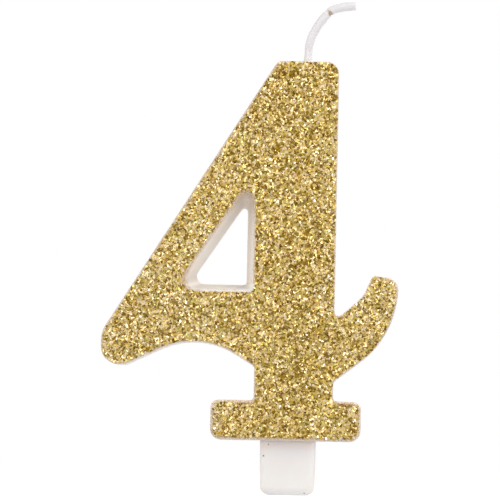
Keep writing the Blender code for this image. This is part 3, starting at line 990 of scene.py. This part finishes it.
def wick_piece(name, path, start, end, cut_end):
    """A closed stretch of the wick. A cut end gets a rounded rim and a fibrous face."""
    hidden = np.arange(start, SHOWN_FROM, HIDDEN_STEP)
    visible = np.arange(max(start, SHOWN_FROM), end, WICK_STEP)
    rings, cracks = [], []
    for length in [*hidden, *visible, end]:
        ring, depth = wick_ring(path, length)
        rings.append(ring)
        cracks += depth
    if cut_end:
        for scale in CUT_SCALES:
            rings.append(wick_ring(path, end, scale, FIBRE_LIFT)[0])
            cracks += [0.0] * WICK_SIDES
    else:
        rings.append(wick_ring(path, end + PLUG_LENGTH, PLUG_SCALE)[0])
        cracks += [0.0] * WICK_SIDES
    mesh = lofted(name, rings)
    rest = mesh.attributes.new("rest", "FLOAT_VECTOR", "POINT")
    rest.data.foreach_set("vector", coordinates(mesh).ravel())
    opened = mesh.attributes.new("crack", "FLOAT", "POINT")
    opened.data.foreach_set("value", cracks)
    return mesh


def make_wick():
    """Two lengths that meet between the bends."""
    path = WickPath()
    material = wick_material()
    join = JOIN_SHARE * path.kink
    lower = new_object("wick_lower", wick_piece("wick_lower", path, path.foot, join, False), material)
    upper = new_object("wick_upper", wick_piece("wick_upper", path, join, path.end, True), material)
    for piece in (lower, upper):
        piece.data.set_sharp_from_angle(angle=math.radians(WICK_SHARP_DEG))
    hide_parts("wick_core", "wick_neck")
    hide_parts("wick_tip")
    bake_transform(lower)
    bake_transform(upper)


def main():
    make_wax()
    make_bed()
    tones = flake_materials()
    make_flakes(tones)
    make_strays(tones)
    make_peg()
    make_wick()


main()


# ============================== camera, floor and light ===========================
AIM = Vector((-7.65, FRONT, 44.95)) * MM
VIEW_WIDTH = 91.94 * MM        # what 500 px across show at the digit's front
CAMERA_DISTANCE = 1000.0 * MM
CAMERA_AZIMUTH_DEG, CAMERA_ELEVATION_DEG, CAMERA_ROLL_DEG = 0.75, -2.2, 1.15
LIGHT_TARGET = Vector((-7.0, 0.0, 45.0)) * MM
FLOOR_HALF = 2.5               # metres
FLOOR_SEEN, FLOOR_CAST = (1.0, 1.0, 1.0), (0.60, 0.585, 0.57)
ROOM_COLOR = (0.22, 0.16, 0.06)
LIGHT_COLOR = (0.97, 0.98, 1.0)


def direction(azimuth_deg, elevation_deg):
    """The unit vector away from the digit; azimuth 0 is in front of it, 90 on its right."""
    azimuth, elevation = math.radians(azimuth_deg), math.radians(elevation_deg)
    return Vector((math.sin(azimuth) * math.cos(elevation),
                   -math.cos(azimuth) * math.cos(elevation), math.sin(elevation)))


def make_camera():
    """A long lens from a metre away, a little below the digit's middle."""
    data = bpy.data.cameras.new("camera")
    data.sensor_width = 36.0
    data.lens = data.sensor_width * CAMERA_DISTANCE / VIEW_WIDTH
    data.clip_start, data.clip_end = 0.01, 20.0
    camera = bpy.data.objects.new("camera", data)
    bpy.context.scene.collection.objects.link(camera)
    back = direction(CAMERA_AZIMUTH_DEG, CAMERA_ELEVATION_DEG)
    camera.location = AIM + back * CAMERA_DISTANCE
    turn = (-back).to_track_quat("-Z", "Y").to_matrix().to_4x4()
    roll = Matrix.Rotation(math.radians(CAMERA_ROLL_DEG), 4, "Z")
    camera.rotation_euler = (turn @ roll).to_euler()
    bpy.context.scene.camera = camera


def seen_and_cast(tree, seen, cast):
    """A socket with one value for what the camera sees and another for the light it gives."""
    mix = tree.nodes.new("ShaderNodeMix")
    mix.data_type = "RGBA"
    mix.inputs[6].default_value = (*cast, 1.0)
    mix.inputs[7].default_value = (*seen, 1.0)
    path = tree.nodes.new("ShaderNodeLightPath")
    tree.links.new(path.outputs["Is Camera Ray"], mix.inputs["Factor"])
    return mix.outputs[2]


def make_floor():
    """A wide white table top, bright to the eye and dimmer as a source of light."""
    corners = [(-1, -1), (1, -1), (1, 1), (-1, 1)]
    mesh = bpy.data.meshes.new("floor")
    mesh.from_pydata([(x * FLOOR_HALF, y * FLOOR_HALF, 0.0) for x, y in corners], [], [(0, 1, 2, 3)])
    nodes = Nodes("floor")
    nodes.set(Base_Color=(0.2, 0.2, 0.2, 1.0), Roughness=0.9, Specular_IOR_Level=0.0)
    nodes.link(seen_and_cast(nodes.tree, FLOOR_SEEN, FLOOR_CAST), "Emission Color")
    nodes.set(Emission_Strength=1.0)
    floor = new_object("floor", mesh, nodes.material)


def softbox(name, azimuth_deg, elevation_deg, distance, size, radiance):
    """A rectangular light that faces the digit. Its distance and size are in metres."""
    data = bpy.data.lights.new(name, "AREA")
    data.shape = "RECTANGLE"
    data.size, data.size_y = size
    data.energy = radiance * math.pi * size[0] * size[1]
    data.color = LIGHT_COLOR
    light = bpy.data.objects.new(name, data)
    back = direction(azimuth_deg, elevation_deg)
    light.location = LIGHT_TARGET + back * distance
    light.rotation_euler = (-back).to_track_quat("-Z", "Y").to_euler()
    light.visible_camera = False
    bpy.context.scene.collection.objects.link(light)


def make_light():
    """Softboxes all round, so that the tilted flakes each find something to mirror."""
    softbox("key", -34.0, 28.0, 0.9, (0.75, 0.7), 0.92)
    softbox("fill", 40.0, 12.0, 0.9, (0.55, 0.8), 1.05)
    softbox("left", -66.0, 20.0, 0.9, (0.55, 0.8), 1.45)
    softbox("right", 66.0, 2.0, 0.9, (0.6, 0.8), 2.15)
    softbox("top", 0.0, 62.0, 0.9, (1.0, 0.5), 2.1)
    softbox("back", 140.0, 42.0, 1.0, (0.9, 0.9), 2.2)
    softbox("back_fill", -150.0, 5.0, 1.1, (0.9, 1.2), 0.7)


def make_room():
    """A dim warm room, with white behind all that the camera sees."""
    world = bpy.data.worlds.new("room")
    world.use_nodes = True
    tree = world.node_tree
    white = (1.0, 1.0, 1.0)
    tree.links.new(seen_and_cast(tree, white, ROOM_COLOR), tree.nodes["Background"].inputs["Color"])
    bpy.context.scene.world = world


make_camera()
make_floor()
make_light()
make_room()
bpy.context.scene.view_settings.view_transform = "Standard"
